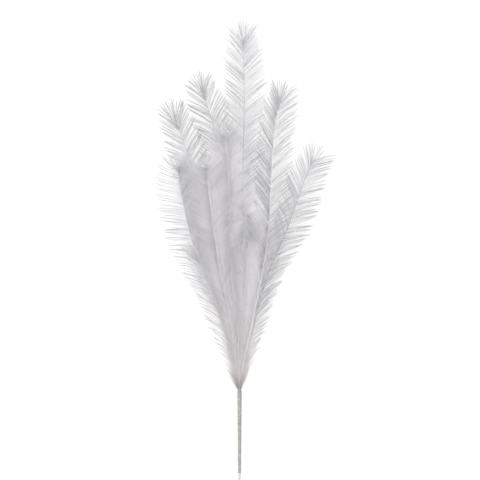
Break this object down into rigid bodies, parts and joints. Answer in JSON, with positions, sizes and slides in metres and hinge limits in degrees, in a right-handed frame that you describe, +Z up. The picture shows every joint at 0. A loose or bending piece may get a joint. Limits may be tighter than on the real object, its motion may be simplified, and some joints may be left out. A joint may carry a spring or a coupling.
{
  "type": "dried pampas grass",
  "caption": "Cut spray of dried pampas grass lying down: feathery plumes on fine wires, bound with tape round one slim stem.",
  "frame": {"origin": "on the surface that the spray lies on, at the middle of its footprint", "axes": "+Y along the spray from the cut end to the plume tips, +X to the right as seen from above with the tips away, +Z up"},
  "size_m": [0.3439, 0.8749, 0.1968],
  "materials": {
    "plume_hair": "pale, faintly lavender grey hair, soft and slightly see-through",
    "paper_tape": "matt crepe paper tape in pale warm grey, wound in a spiral",
    "wire": "plain grey wire, cut square"
  },
  "bodies": {
    "root": {"stem_wire": "wire", "stem_wrap": "paper_tape", "plume_right_low": "plume_hair", "plume_right_tall": "plume_hair", "plume_front_curled": "plume_hair", "plume_front_tall": "plume_hair", "plume_front_left": "plume_hair", "plume_left_curled": "plume_hair", "plume_left_tall": "plume_hair", "plume_left_low": "plume_hair", "plume_back_left": "plume_hair", "plume_back_tall": "plume_hair"}
  },
  "joints": []
}
